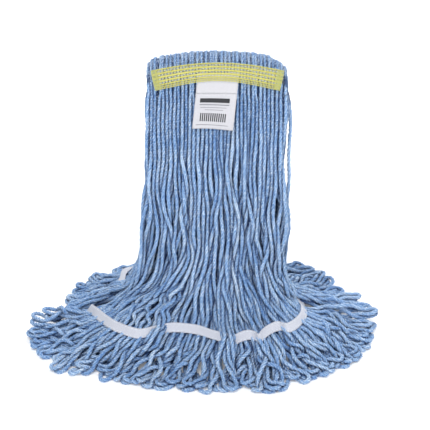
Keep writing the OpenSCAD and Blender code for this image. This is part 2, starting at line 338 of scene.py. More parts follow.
def headRoute(place, side):
    # from the seam hidden under the headband to the hinge line, over the fold for the back half
    z = foldZ - foldDrop(place["x"])
    angles = np.linspace(yarn["seamAngle"], 0, 5) if side == front else np.linspace(yarn["seamAngle"], 180, 30)
    route = []
    for a in np.radians(angles):
        puff = place["puff"] * math.sin(a) ** 2 if side == back and math.degrees(a) > 40 else 0
        lift = place["radius"] + puff
        route.append([place["x"], -lift * math.cos(a), z + lift * math.sin(a)])
    route.append([place["x"], side * place["radius"], min(z - 4 * mm, hingeZ + 3 * mm)])
    route.append([place["x"], side * place["radius"], hingeZ - 2 * mm])
    return np.array(route)


lockCount = yarn["legs"] // yarn["lockSize"] + 1
locks = {side: [{"wave": rng.uniform(0.14, 0.26), "phase": rng.uniform(0, 6.28), "depth": rng.uniform(0, 6.28)}
                for k in range(lockCount)] for side in (front, back)}
# How one strand falls from the hinge line to the tail tape
leg = {"faceOut": 0.35, "faceUp": 0.93, "overTape": 4.0 * mm, "underTape": 0.62 * yarn["diameter"],
       "layerOver": 4.0 * mm, "layerUnder": 4.4 * mm, "turnJitter": 8 * mm, "closeUp": 1.35,
       "flareAt": (0, 0.10, 0.25), "flare": (11 * mm, 8 * mm, 3 * mm),
       "hangAt": (0, 0.14, 0.30), "hang": (0.26, 0.34, 0.52), "lowOut": 0.10, "lowRise": 0.4,
       "inside": 0.6 * mm, "runOut": 0.45, "landHigh": 6 * mm, "acrossWaves": (0.085, 0.14, 0.23),
       "deepWaves": (0.07, 0.12, 0.2), "deepShare": 0.8, "crinkle": 0.032}


def legRoute(place, side, tapeShare, tapeLayer):
    # from the hinge line down the curtain and out to the tail tape
    tape, outward = tapeLine(tapeShare, side)
    normal = np.array([outward[0] * leg["faceOut"], outward[1] * leg["faceOut"], leg["faceUp"]])
    if side == front:
        over = any(a * mm < tape[0] < b * mm for a, b in overTape)
    else:
        over = tape[1] < overBackTape
    above = leg["overTape"] + tapeLayer * leg["layerOver"]
    below = leg["underTape"] + tapeLayer * leg["layerUnder"]
    tape = tape + normal * (above if over else -below)
    turn = np.interp(tapeShare, [0, 0.5, 1], skirt["turn"][side]) + rng.normal(0, leg["turnJitter"])
    start = np.array([place["x"], side * place["radius"], hingeZ - 2 * mm])
    inner = foldRadius - yarn["diameter"] / 2 - (yarn["layers"] - 1) * yarn["layerStep"]
    closed = yarn["diameter"] / 2 + leg["inside"] + (place["radius"] - inner) * leg["closeUp"]
    flare = np.interp(tapeShare, leg["flareAt"], leg["flare"])
    bendAt = np.array([place["x"] + outward[0] * flare, side * closed, turn])
    # the strands at the left come down steeply and run out low
    hang = np.interp(tapeShare, leg["hangAt"], leg["hang"])
    lowAt = bendAt[:2] + leg["lowOut"] * (tape[:2] - bendAt[:2])
    low = np.array([*lowAt, turn * hang + tape[2] * leg["lowRise"]])
    reach = np.linalg.norm(tape[:2] - bendAt[:2])
    before = tape - outward * reach * leg["runOut"] + np.array([0, 0, leg["landHigh"]])
    u = np.linspace(0, 1, 24)[:, None]
    curve = (1 - u) ** 3 * bendAt + 3 * u * (1 - u) ** 2 * low + 3 * u ** 2 * (1 - u) * before + u ** 3 * tape
    drop = np.linspace(0, 1, 16)[:, None]
    straight = start + (bendAt - start) * drop
    straight[:, 1] = start[1] + (bendAt[1] - start[1]) * smooth(0.05, 0.55, drop[:, 0])
    route = np.concatenate([straight[:-1], curve])
    walked = walkAlong(route)
    share = walked / walked[-1]
    size = yarn["waveTop"] + (yarn["waveLow"] - yarn["waveTop"]) * smooth(0.1, 0.7, share)
    size = size * smooth(0, 0.06, share) * (1 - smooth(0.86, 1, share))
    route[:, 0] += wander(walked, leg["acrossWaves"], 1.0) * size
    route[:, 1] += wander(walked, leg["deepWaves"], 1.0) * size * leg["deepShare"]
    # neighbouring strands hang together in locks that part and close as they fall
    lock = locks[side][int(place["along"] * yarn["legs"]) // yarn["lockSize"]]
    pull = smooth(0.08, 0.55, share) * (1 - smooth(0.75, 1.0, share)) * yarn["lockWave"]
    around = 2 * math.pi * walked / lock["wave"]
    route[:, 0] += pull * np.sin(around + lock["phase"])
    route[:, 1] += side * pull * (0.5 + 0.5 * np.sin(around * 0.8 + lock["depth"])) * 0.7
    # the last strand at the right hangs a little apart from the rest
    apart = smooth(0.05, 0.2, share) * (1 - smooth(0.36, 0.52, share))
    stray = side == front and place["along"] > yarn["strayFrom"]
    beside = -yarn["strayGap"] * smooth(0.93, 0.98, place["along"])
    route[:, 0] += apart * (yarn["strayOut"] if stray else beside)
    # some strands at the front left have slack above the tape, which stands up in crinkles
    slack = yarn["slack"] * smooth(0.10, 0.18, tapeShare) * (1 - smooth(0.32, 0.40, tapeShare))
    bulge = smooth(0.76, 0.86, share) * (1 - smooth(0.92, 0.99, share)) * (slack if side == front else 0.0)
    bulge = bulge * rng.uniform(0, 1)
    crinkle = np.sin(2 * math.pi * walked / leg["crinkle"] + rng.uniform(0, 6.28))
    route += bulge[:, None] * (crinkle[:, None] * [0.8, 0.4, 0] + np.array([0, 0, 0.9]))
    return route, tape, outward


# The closed loops past the tape: how wide they are, how far they curl, and how unevenly they end
loop = {"points": 26, "crowd": 1.5, "narrowMm": 4.8, "broadMm": 8.8, "shareJitter": 0.006,
        "shorten": 0.07, "curl": 0.16, "curlMost": 0.3, "sway": 4.2 * mm, "swayWaves": (0.04, 0.07),
        "rise": 2.5 * mm, "riseWaves": (0.06, 0.1), "halfTurns": (0, 0, 0, 1, -1, 2)}


def loopRoute(tapeA, tapeB, side, tapeShare):
    # the closed loop past the tail tape, from one leg's tape point to the other's
    middle = (tapeA + tapeB) / 2
    # the first and last loops of each half are piled on their neighbours
    pile = skirt["pile"] * ((1 - smooth(0, 0.10, tapeShare)) + smooth(0.92, 1, tapeShare))
    rimShare = min(max(tapeShare + rng.normal(0, loop["shareJitter"]), 0), 1)
    tip = np.array([*rimCurve[side](rimShare), yarn["diameter"] / 2 + pile])
    reach = (tip - middle) * [1, 1, 0]
    reach *= 1 - abs(rng.normal(0, loop["shorten"]))
    length = np.linalg.norm(reach)
    forward = reach / length
    across = np.array([-forward[1], forward[0], 0.0])
    if np.dot(tapeB - tapeA, across) < 0:
        across = -across
    # the points crowd towards the tip, which closes in a half circle
    u = 1 - (1 - np.linspace(0, 1, loop["points"])) ** loop["crowd"]
    halfWide = rng.uniform(loop["narrowMm"], loop["broadMm"]) * mm
    gap = np.linalg.norm((tapeB - tapeA)[:2]) / 2
    wide = gap + (halfWide - gap) * smooth(0.0, 0.6, u)
    wide = wide * np.sqrt(1 - (1 - np.minimum((1 - u) * length / halfWide, 1)) ** 2)
    curl = np.clip(rng.normal(0, loop["curl"]), -loop["curlMost"], loop["curlMost"]) * length * u ** 2
    curl = curl + wander(u * length, loop["swayWaves"], loop["sway"]) * smooth(0.05, 0.4, u)
    rise = np.abs(wander(u * length, loop["riseWaves"], loop["rise"])) * smooth(0.2, 0.6, u)
    spin = rng.choice(loop["halfTurns"]) * math.pi * smooth(0.15, 0.85, u)
    centre = middle[None, :] * [1, 1, 0] + u[:, None] * length * forward + curl[:, None] * across
    centre[:, 2] = middle[2] + (tip[2] - middle[2]) * smooth(0, 0.85, u) ** 0.8 + rise
    aside = np.cos(spin)[:, None] * across + np.sin(spin)[:, None] * np.array([0, 0, 1.0])
    first, second = centre - wide[:, None] * aside, centre + wide[:, None] * aside
    first[0], second[0] = tapeA, tapeB
    return np.concatenate([first[1:], second[::-1][1:-1]])


def buildLoops(side):
    # neighbouring strands are joined in pairs; the back half pairs them one further on
    loops = []
    legs = yarn["legs"]
    shift, layers = (0, 2) if side == front else (1, 3)
    for k in range(legs // 2):
        ends = []
        leftOver = side == back and k == legs // 2 - 1
        strands = (legs - 1, 0) if leftOver else ((2 * k + shift) % legs, (2 * k + 1 + shift) % legs)
        for n, strand in enumerate(strands):
            share = (strand + 0.5) / legs
            route, tape, outward = legRoute(strandPlace[strand], side, share, (strand // 2 + n) % layers)
            top = headRoute(strandPlace[strand], side)[:-1]
            ends.append((np.concatenate([top, route]), share, tape, outward))
        if leftOver:
            loops += [singleEnd(end) for end in ends]
            continue
        (downA, shareA, tapeA, _), (downB, shareB, tapeB, _) = ends
        middle = loopRoute(tapeA, tapeB, side, (shareA + shareB) / 2)
        loops.append(np.concatenate([downA, middle, downB[::-1]]))
    return loops


def singleEnd(end):
    # at each end of the back half one strand is left over: it is tucked back under its own tape
    route, _, tape, outward = end
    steps = ((14, 5), (30, 12), (46, 18), (58, 20))    # millimetres out and down
    tuck = np.array([tape + outward * out * mm - np.array([0, 0, down * mm]) for out, down in steps])
    tuck[:, 2] = np.maximum(tuck[:, 2], yarn["diameter"] / 2)
    return np.concatenate([route, tuck])


def gatherStrands(routes):
    # every strand's points in one set of arrays, for the settling run
    chunks = [resample(route, yarn["solverStep"]) for side, route in routes]
    ends = np.cumsum([0] + [len(chunk) for chunk in chunks])
    return {"parts": [(side, ends[n], ends[n + 1]) for n, (side, route) in enumerate(routes)],
            "points": np.concatenate(chunks),
            "side": np.concatenate([np.full(len(chunk), side) for chunk, (side, route) in zip(chunks, routes)]),
            "strand": np.concatenate([np.full(len(chunk), n) for n, chunk in enumerate(chunks)])}


def findPairs(points, strand, reach):
    # every two points within reach of each other, by sorting them into cells of that size
    cell = np.floor(points / reach).astype(np.int64) + 1000
    key = (cell[:, 0] * 4096 + cell[:, 1]) * 4096 + cell[:, 2]
    order = np.argsort(key, kind="stable")
    sortedKey = key[order]
    found = []
    for dx in (-1, 0, 1):
        for dy in (-1, 0, 1):
            for dz in (-1, 0, 1):
                offset = (dx * 4096 + dy) * 4096 + dz
                if offset < 0:
                    continue
                low = np.searchsorted(sortedKey, key + offset, "left")
                high = np.searchsorted(sortedKey, key + offset, "right")
                counts = high - low
                a = np.repeat(np.arange(len(points)), counts)
                places = np.arange(counts.sum()) - np.repeat(np.cumsum(counts) - counts, counts)
                b = order[np.repeat(low, counts) + places]
                keep = (a < b) if offset == 0 else np.ones(len(a), bool)
                found.append(np.stack([a[keep], b[keep]], axis=1))
    pairs = np.concatenate(found)
    gap = points[pairs[:, 0]] - points[pairs[:, 1]]
    near = np.einsum("ij,ij->i", gap, gap) < reach * reach
    pairs = pairs[near]
    # a strand's own next few points don't count
    kin = (strand[pairs[:, 0]] == strand[pairs[:, 1]]) & (np.abs(pairs[:, 0] - pairs[:, 1]) < 4)
    return pairs[~kin]


relaxation = {"rounds": 150, "pairEvery": 10, "reach": 1.5, "gravity": 0.03 * mm, "stiffness": 0.25,
              "push": 0.42, "spread": 0.6, "heldAbove": hingeZ - 6 * mm, "setAbove": 60 * mm, "setPull": 0.02,
              "labelAbove": 278 * mm, "middleGap": 0.5 * mm}


def relax(bundle):
    # settles the strands against each other and the floor while each keeps its length and its own set
    points, side, strand = bundle["points"], bundle["side"], bundle["strand"]
    count, size, radius = len(points), yarn["diameter"], yarn["diameter"] / 2
    rest = points.copy()
    curtainFace = foldRadius - radius + 0.8 * mm
    middleFace = radius + relaxation["middleGap"]
    same = strand[:-1] == strand[1:]
    segment = np.nonzero(same)[0]
    restLength = np.linalg.norm(points[segment + 1] - points[segment], axis=1)
    inner = np.nonzero(same[:-1] & same[1:])[0] + 1
    restBend = rest[inner] - (rest[inner - 1] + rest[inner + 1]) / 2
    loose = rest[:, 2] <= relaxation["heldAbove"]
    weight = np.where(loose, 1.0, 0.0)
    setHold = np.where(rest[:, 2] < relaxation["setAbove"], 0.0, relaxation["setPull"]) * weight
    alternate = [(segment[segment % 2 == k], restLength[segment % 2 == k]) for k in (0, 1)]
    for turn in range(relaxation["rounds"]):
        if turn % relaxation["pairEvery"] == 0:
            pairs = findPairs(points, strand, size * relaxation["reach"])
        points[loose, 2] -= relaxation["gravity"]
        # each step of a strand keeps its length
        for seg, length in alternate:
            gap = points[seg + 1] - points[seg]
            now = np.linalg.norm(gap, axis=1)
            wa, wb = weight[seg], weight[seg + 1]
            total = np.maximum(wa + wb, 1e-9)
            fix = gap * ((now - length) / np.maximum(now, 1e-9))[:, None]
            points[seg] += fix * (wa / total)[:, None]
            points[seg + 1] -= fix * (wb / total)[:, None]
        # and springs back towards its own bend
        bendNow = points[inner] - (points[inner - 1] + points[inner + 1]) / 2
        points[inner] += (restBend - bendNow) * relaxation["stiffness"] * weight[inner][:, None]
        # strands that overlap push each other apart
        gap = points[pairs[:, 0]] - points[pairs[:, 1]]
        now = np.linalg.norm(gap, axis=1)
        hit = now < size
        a, b = pairs[hit, 0], pairs[hit, 1]
        fix = gap[hit] * ((size - now[hit]) / np.maximum(now[hit], 1e-9) * relaxation["push"])[:, None]
        for k in range(3):
            pushed = np.bincount(a, fix[:, k], count) - np.bincount(b, fix[:, k], count)
            points[:, k] += pushed * weight * relaxation["spread"]
        # nothing sinks into the floor, crosses to the other half, or stands out behind the label
        points[loose, 2] = np.maximum(points[loose, 2], radius)
        short = loose & (side * points[:, 1] < middleFace)
        points[short, 1] = side[short] * middleFace
        points += (rest - points) * setHold[:, None]
        high = loose & (points[:, 2] > relaxation["labelAbove"])
        points[high, 1] = np.clip(points[high, 1], -curtainFace, curtainFace)


print("mop: laying out strands")
bundle = gatherStrands([(side, route) for side in (front, back) for route in buildLoops(side)])
print("mop:", len(bundle["parts"]), "loops,", len(bundle["points"]), "points")
relax(bundle)
print("mop: strands settled")


# How near another strand has to be to hide a point, and how much hiding puts it in full painted shade
burial = {"reach": 2.3, "beside": 0.25, "from": 0.6, "full": 6.0, "most": 0.8}


def findBuried(bundle):
    # how far each point lies behind others, seen from outside: out from the curtain, up from the skirt. It sets
    # the painted shade
    points, count = bundle["points"], len(bundle["points"])
    level = smooth(50 * mm, 110 * mm, points[:, 2])
    outward = np.stack([2.0 * points[:, 0] * (1 - level), bundle["side"] * (0.25 + 0.75 * level),
                        1 - 0.85 * level], axis=1)
    overFold = points[:, 2] > foldZ
    outward[overFold] = (points[overFold] - [0, 0, foldZ]) * [0, 1, 1]
    outward /= np.linalg.norm(outward, axis=1)[:, None]
    pairs = findPairs(points, bundle["strand"], burial["reach"] * yarn["diameter"])
    gap = points[pairs[:, 1]] - points[pairs[:, 0]]
    gap /= np.maximum(np.linalg.norm(gap, axis=1), 1e-9)[:, None]
    total = np.zeros(count)
    for k, sign in ((0, 1), (1, -1)):
        cosine = sign * np.einsum("ij,ij->i", gap, outward[pairs[:, k]])
        total += np.bincount(pairs[:, k], np.clip(cosine - burial["beside"], 0, 1), count)
    return smooth(burial["from"], burial["full"], total) * burial["most"]


buriedShare = findBuried(bundle)


# Painted shade: the colour darkens where strands lie against each other
crevice = {"touch": 1.4, "from": 0.40, "full": 0.38, "depth": 0.85}
plySection = ((0.0, 0.70), (1 / 3, 1.0), (2 / 3, 1.0))    # one ply's share of the turn, and how far out it lies
sectionPoints = len(plySection) * yarn["plies"]


def makeSection():
    # the outline of a strand: a round with a groove between each two plies
    curve = bpy.data.curves.new("yarnSection", "CURVE")
    curve.dimensions = "2D"
    spline = curve.splines.new("POLY")
    spline.points.add(sectionPoints - 1)
    corners = [(2 * math.pi * (ply + part) / yarn["plies"], out * yarn["diameter"] / 2)
               for ply in range(yarn["plies"]) for part, out in plySection]
    for point, (angle, out) in zip(spline.points, corners):
        point.co = (math.cos(angle) * out, math.sin(angle) * out, 0, 1)
    spline.use_cyclic_u = True
    return bpy.data.objects.new("yarnSection", curve)


def addPiece(name, mesh, material):
    # a finished mesh as a piece at the origin
    mesh.materials.clear()
    mesh.materials.append(material)
    piece = bpy.data.objects.new(name, mesh)
    scene.collection.objects.link(piece)
    return piece


def fitPiece(piece, body, node=None):
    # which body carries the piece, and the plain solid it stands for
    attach(piece, body)
    if node:
        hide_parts(node)


def newSweep(name):
    curve = bpy.data.curves.new(name, "CURVE")
    curve.dimensions = "3D"
    curve.use_fill_caps = True
    return curve


def addSpline(curve, path):
    spline = curve.splines.new("POLY")
    spline.points.add(len(path) - 1)
    spline.points.foreach_set("co", np.concatenate([path, np.ones((len(path), 1))], axis=1).ravel())
    return spline


def sweepMesh(curve):
    # the curve's own tubes as a mesh
    holder = bpy.data.objects.new(curve.name, curve)
    scene.collection.objects.link(holder)
    mesh = bpy.data.meshes.new_from_object(holder.evaluated_get(bpy.context.evaluated_depsgraph_get()))
    mesh.name = curve.name
    bpy.data.objects.remove(holder)
    return mesh


def closeEnds(mesh):
    # a curve's end caps come loose from its tube: join them
    made = bmesh.new()
    made.from_mesh(mesh)
    bmesh.ops.remove_doubles(made, verts=made.verts, dist=0.005 * mm)
    made.to_mesh(mesh)
    made.free()
    mesh.shade_smooth()


yarnSection = makeSection()


def findBeside(paths):
    # for every point of every strand, the directions in which another strand lies against it
    every = np.concatenate(paths)
    strand = np.repeat(np.arange(len(paths)), [len(path) for path in paths])
    pairs = findPairs(every, strand, crevice["touch"] * yarn["diameter"])
    pairs = np.concatenate([pairs, pairs[:, ::-1]])
    gap = every[pairs[:, 1]] - every[pairs[:, 0]]
    far = np.linalg.norm(gap, axis=1)
    return pairs[:, 0], gap / far[:, None], crevice["touch"] - far / yarn["diameter"]


def shadeCrevices(around, ringNumbers, beside):
    # how deep each point of a strand's skin sits in the groove against its neighbours, which sets its painted
    # shade
    owner, toward, near = beside
    local = np.full(max(owner.max(), ringNumbers.max()) + 1, -1)
    local[ringNumbers] = np.arange(len(ringNumbers))
    mine = local[owner] >= 0
    rows, toward, near = local[owner[mine]], toward[mine], near[mine]
    shade = np.zeros((len(ringNumbers), sectionPoints))
    for k in range(sectionPoints):
        facing = np.einsum("ij,ij->i", around[rows, k], toward)
        shade[:, k] = np.bincount(rows, np.clip(facing - crevice["from"], 0, 1) * near, len(ringNumbers))
    return smooth(0, crevice["full"], shade) * crevice["depth"]


def makeStrands(name, paths, tones, depths, ringNumbers, beside):
    # strands of plied yarn swept along their paths, the section turning with the twist
    curve = newSweep(name)
    curve.bevel_mode = "OBJECT"
    curve.bevel_object = yarnSection
    curve.twist_mode = "MINIMUM"
    angles = np.arange(sectionPoints) * 2 * math.pi / sectionPoints
    ring = np.stack([np.cos(angles), np.sin(angles), 0 * angles], axis=1) * yarn["diameter"] / 2
    lumps, spots = [], []
    for path in paths:
        spline = addSpline(curve, path)
        walked = walkAlong(path)
        pitch = yarn["plyPitch"] * rng.uniform(*yarn["pitchSpread"])
        spline.points.foreach_set("tilt", walked / pitch * 2 * math.pi)
        # thinner where it is squeezed in the head, fuller where it is loose near the floor
        free = 1 - smooth(hingeZ - 40 * mm, hingeZ - 5 * mm, path[:, 2])
        size = yarn["headSqueeze"] + (1 - yarn["headSqueeze"]) * free
        size += yarn["fluff"] * (1 - smooth(40 * mm, 120 * mm, path[:, 2]))
        spline.points.foreach_set("radius", size * (1 + wander(walked, yarn["slubWaves"], yarn["slubs"])))
        rough = rng.normal(1, yarn["lumps"], (len(path), sectionPoints, 1))
        rough[[0, -1]] = 1
        lumps.append(rough.reshape(-1, 1))
        spots.append((ring[None] + walked[:, None, None] * [0, 0, 1] + rng.uniform(0, 9, 3)).reshape(-1, 3))
    mesh = sweepMesh(curve)
    # the end caps' points come first in the mesh, then the tubes' points ring by ring
    lumps, spots = np.concatenate(lumps), np.concatenate(spots)
    centres = np.concatenate([np.repeat(path, sectionPoints, axis=0) for path in paths])
    capPoints = len(mesh.vertices) - len(centres)
    corners = np.empty(len(mesh.vertices) * 3, np.float32)
    mesh.vertices.foreach_get("co", corners)
    corners = corners.reshape(-1, 3)
    around = (corners[capPoints:] - centres).reshape(-1, sectionPoints, 3)
    around = around / np.linalg.norm(around, axis=2)[:, :, None]
    # painted shade: darker in the crevices between strands and where a strand lies behind others
    paintedShade = 1 - (1 - shadeCrevices(around, ringNumbers, beside)) * (1 - np.concatenate(depths))[:, None]
    corners[capPoints:] = centres + (corners[capPoints:] - centres) * lumps
    mesh.vertices.foreach_set("co", corners.ravel())
    # painted shade in the ply grooves: their points get a fixed darkening
    inGroove = np.arange(len(centres)) % len(plySection) == 0
    values = {"strandTone": np.repeat(tones, [len(path) * sectionPoints for path in paths]),
              "plyGroove": np.where(inGroove, yarn["grooveShadeAmount"], 0.0),
              "buried": paintedShade.ravel()}
    for attributeName, value in values.items():
        filled = np.concatenate([np.zeros(capPoints), value]).astype(np.float32)
        mesh.attributes.new(attributeName, "FLOAT", "POINT").data.foreach_set("value", filled)
    filled = np.concatenate([np.zeros((capPoints, 3)), spots]).astype(np.float32)
    mesh.attributes.new("yarnPlace", "FLOAT_VECTOR", "POINT").data.foreach_set("vector", filled.ravel())
    closeEnds(mesh)
    return addPiece(name, mesh, yarnMaterial)


def makeThreads(name, paths, radius, material, sides=1, taper=None):
    # many short or long threads of round section in one mesh
    curve = newSweep(name)
    curve.bevel_depth = radius
    curve.bevel_resolution = sides
    for path in paths:
        spline = addSpline(curve, path)
        if taper is not None:
            spline.points.foreach_set("radius", taper)
    mesh = sweepMesh(curve)
    closeEnds(mesh)
    return addPiece(name, mesh, material)


# Loose fibre ends that stand off the yarn. Each stands for a wisp of several, and is thicker than a real one,
# so that it shows.
fibre = {"count": 8500, "crownCount": 9000, "crownRadius": 0.21 * mm, "radius": 0.14 * mm, "short": 1.6 * mm,
         "long": 4.2 * mm, "taper": [1.0, 0.7, 0.25], "notBelow": 0.3 * mm, "outerDepth": 0.45,
         "crownDepth": 9 * mm, "root": 0.42, "leanAlong": 0.9, "leanAcross": 0.35}


def buildFibres(name, paths, allowed, count, radius):
    every = np.concatenate(paths)
    along = np.concatenate([np.gradient(path, axis=0) for path in paths])
    chosen = rng.choice(np.nonzero(allowed)[0], count)
    along = along[chosen] / np.linalg.norm(along[chosen], axis=1)[:, None]
    stray = rng.normal(0, 1, (count, 3))
    outward = stray - along * np.einsum("ij,ij->i", stray, along)[:, None]
    outward /= np.linalg.norm(outward, axis=1)[:, None]
    base = every[chosen] + outward * yarn["diameter"] * fibre["root"]
    length = rng.uniform(fibre["short"], fibre["long"], count)[:, None]
    lean = rng.normal(0, fibre["leanAlong"], count)[:, None] * along
    lean = lean + rng.normal(0, fibre["leanAcross"], (count, 3))
    middle = base + (outward * 0.8 + lean * 0.6) * length * 0.45
    tip = middle + (outward * 0.35 + lean) * length * 0.5
    for points in (middle, tip):
        points[:, 2] = np.maximum(points[:, 2], fibre["notBelow"])
    wisps = list(np.stack([base, middle, tip], axis=1))
    return makeThreads(name, wisps, radius, fibreMaterial, 0, fibre["taper"])


def buildHalf(side):
    # one half of the yarn: its outermost loops one by one as pieces of their own, the rest in banks, and loose
    # fibres
    label, body = wordOf[side], bodyOf[side]
    members = [(a, b) for s, a, b in bundle["parts"] if s == side]
    paths = [resample(smoothThrough(bundle["points"][a:b], (0.0, 0.25, 0.5, 0.75)), yarn["ringStep"])
             for a, b in members]
    depths = [np.interp(np.linspace(0, 1, len(path)), np.linspace(0, 1, b - a), buriedShare[a:b])
              for path, (a, b) in zip(paths, members)]
    reachOut = [np.abs(path[:, 1]).max() + 0.3 * np.abs(path[:, 0]).max() for path in paths]
    wholeLoops = [n for n, path in enumerate(paths) if path[-1][2] > hingeZ]
    declared = sorted(sorted(wholeLoops, key=lambda n: -reachOut[n])[:yarn["declared"]])
    tones = rng.normal(0.0, yarn["toneSpread"], len(paths))
    beside = findBeside(paths)
    firsts = np.cumsum([0] + [len(path) for path in paths])
    others = [n for n in range(len(paths)) if n not in declared]
    groups = [(f"{label}Loop_{number + 1:02d}", [n]) for number, n in enumerate(declared)]
    groups += [(f"{label}Yarn_{bank + 1}", others[bank::yarn["banks"]]) for bank in range(yarn["banks"])]
    pieces = []
    for name, chosen in groups:
        ringNumbers = np.concatenate([np.arange(firsts[n], firsts[n + 1]) for n in chosen])
        piece = makeStrands(name, [paths[n] for n in chosen], [tones[n] for n in chosen],
                            [depths[n] for n in chosen], ringNumbers, beside)
        pieces.append(piece)
        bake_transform(piece)
    every, depth = np.concatenate(paths), np.concatenate(depths)
    outer = depth < fibre["outerDepth"]
    pieces.append(buildFibres(label + "LooseFibres", paths, outer, fibre["count"], fibre["radius"]))
    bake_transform(pieces[-1])
    if side == back:
        fromMiddle = np.hypot(every[:, 1], every[:, 2] - foldZ + foldDrop(every[:, 0]))
        overTop = (every[:, 2] > foldZ - 6 * mm) & (fromMiddle > foldRadius - fibre["crownDepth"])
        pieces.append(buildFibres("crownLooseFibres", paths, overTop, fibre["crownCount"],
                                  fibre["crownRadius"]))
        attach(pieces[-1], "head")
    for piece in pieces:
        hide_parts(*[f"{label}_yarn_{k}" for k in range(1, 9)])
        if side == back:
            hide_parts("crown_yarn")
    print("mop:", label, "half,", len(pieces), "pieces")


for side in (front, back):
    buildHalf(side)

# Tail tapes: the outer one lies on the strands and the under one behind them
tailTape = {"wide": 12.7 * mm, "thick": 0.8 * mm, "stations": 240, "across": 8, "outer": 0.4 * mm,
            "under": -11.0 * mm, "lean": 0.84, "flatLean": 0.66}


def ribbon(name, rows, thick, material):
    # a cloth strip over a grid of points, given its thickness
    made = bmesh.new()
    place = made.verts.layers.float_vector.new("clothPlace")
    long, wide = len(rows), len(rows[0])
    bmesh.ops.create_grid(made, x_segments=wide - 1, y_segments=long - 1, size=0.5)
    order = sorted(made.verts, key=lambda v: (round(v.co.y, 6), round(v.co.x, 6)))
    walked = [0.0]
    for k in range(1, long):
        walked.append(walked[-1] + (rows[k][wide // 2] - rows[k - 1][wide // 2]).length)
    for n, vertex in enumerate(order):
        row, column = n // wide, n % wide
        vertex.co = rows[row][column]
        vertex[place] = ((rows[row][column] - rows[row][0]).length, walked[row], 0)
    mesh = thicken(made, name, thick)
    mesh.shade_smooth()
    return addPiece(name, mesh, material)


def thicken(made, name, thick):
    # an open sheet becomes a closed one of the given thickness
    bmesh.ops.recalc_face_normals(made, faces=made.faces)
    bmesh.ops.solidify(made, geom=made.faces, thickness=thick)
    mesh = bpy.data.meshes.new(name)
    made.to_mesh(mesh)
    made.free()
    return mesh


def tapeFrame(s, side):
    # a place on the tape, the way down across its cloth, and the way off its face
    spot, outward = tapeLine(s, side)
    tilt = tailTape["lean"] + 0.10 * math.sin(23 * s + 1) + 0.08 * math.sin(61 * s)
    if side == back:    # its left end lies nearly flat
        tilt -= tailTape["flatLean"] * (1 - float(smooth(0.16, 0.28, s)))
    up = np.array([0, 0, 1.0])
    slope = outward * math.cos(tilt) - up * math.sin(tilt)
    normal = outward * math.sin(tilt) + up * math.cos(tilt)
    return spot, slope, normal


def buildTape(name, side, lift, node):
    rows = []
    across, wide = tailTape["across"], tailTape["wide"]
    for s in np.linspace(0.0, 1.0, tailTape["stations"]):
        spot, slope, normal = tapeFrame(s, side)
        steps = [a / across - 0.5 for a in range(across + 1)]
        rows.append([Vector(spot + slope * wide * step + normal * lift) for step in steps])
    piece = ribbon(name, rows, tailTape["thick"], tapeMaterial)
    fitPiece(piece, bodyOf[side], node)


stitching = {"length": 3.0 * mm, "pitch": 5.2 * mm, "radius": 0.32 * mm, "edge": 2.0 * mm, "lift": 0.5 * mm,
             "arch": 0.15 * mm, "start": 0.3}


def buildTapeStitches(name, side, node):
    # two rows of running stitches near the tape's edges
    paths = []
    total = float(walkAlong(np.array([tapeLine(s, side)[0] for s in np.linspace(0, 1, 300)]))[-1])
    count = int(total / stitching["pitch"])
    for row in (-1, 1):
        for k in range(count):
            path = []
            for u in np.linspace(0, 1, 4):
                s = min((k + stitching["start"]) / count + u * stitching["length"] / total, 1)
                spot, slope, normal = tapeFrame(s, side)
                lift = stitching["lift"] + stitching["arch"] * math.sin(math.pi * u)
                path.append(spot + slope * row * (tailTape["wide"] / 2 - stitching["edge"]) + normal * lift)
            paths.append(np.array(path))
    piece = makeThreads(name, paths, stitching["radius"], threadMaterial)
    fitPiece(piece, bodyOf[side], node)


for side in (front, back):
    word = wordOf[side]
    buildTape(word + "TailTape", side, tailTape["outer"], word + "_tail_tape_outer")
    buildTape(word + "TailTapeUnder", side, tailTape["under"], word + "_tail_tape_inner")
for side in (front, back):
    buildTapeStitches(wordOf[side] + "TailStitching", side, wordOf[side] + "_tail_stitching")

# Headband: ribs across it and picks along it, at so many millimetres below its top edge. It rises a little
# in its middle and is narrower there.
band = {"long": 154 * mm, "high": 25 * mm, "topAngle": 38.0, "radius": foldRadius + 0.35 * mm,
        "rollRadius": foldRadius + 0.8 * mm, "bellRise": 2.5, "bellNarrow": 0.11,
        "thread": 0.36 * mm, "ribPitch": 1.85 * mm, "weave": 0.22 * mm, "pinch": 0.5 * mm, "pinchWide": 1.1,
        "holeRows": (3.4, 8.0, 12.6, 17.2),
        "weftRows": (0.4, 1.2, 5.1, 5.8, 6.5, 9.7, 10.4, 11.1, 14.3, 15.0, 15.7, 19.0, 19.7, 22.2, 24.6)}
hem = {"ribs": 5, "pitch": 1.7 * mm, "inset": 0.6 * mm, "deep": 7.6 * mm, "ribLift": 1.5 * mm,
       "pickLift": 1.35 * mm, "picks": 16}
bandStitch = {"radius": 0.28 * mm, "half": 1.25 * mm, "lift": 1.15 * mm, "dip": 0.45 * mm, "sway": 0.25 * mm}


def onBand(along, down, lift):
    # a place on the headband: metres along it from its middle, down from its top edge, off the yarn
    r = band["radius"] + lift
    bell = math.cos(math.pi * along / band["long"]) ** 2 if abs(along) < band["long"] / 2 else 0.0
    rolled = down * (1 - band["bellNarrow"] * bell) / band["rollRadius"]
    a = math.radians(band["topAngle"] + band["bellRise"] * bell) - rolled
    # round the fold above its centre line, and straight down below it
    up = fold["archRadius"] + r * (math.sin(a) if a > 0 else a)
    out = r * math.cos(max(a, 0))
    turn = along / fold["archRadius"]
    return np.array([headCentre + up * math.sin(turn), -out, foldZ - fold["archRadius"] + up * math.cos(turn)])


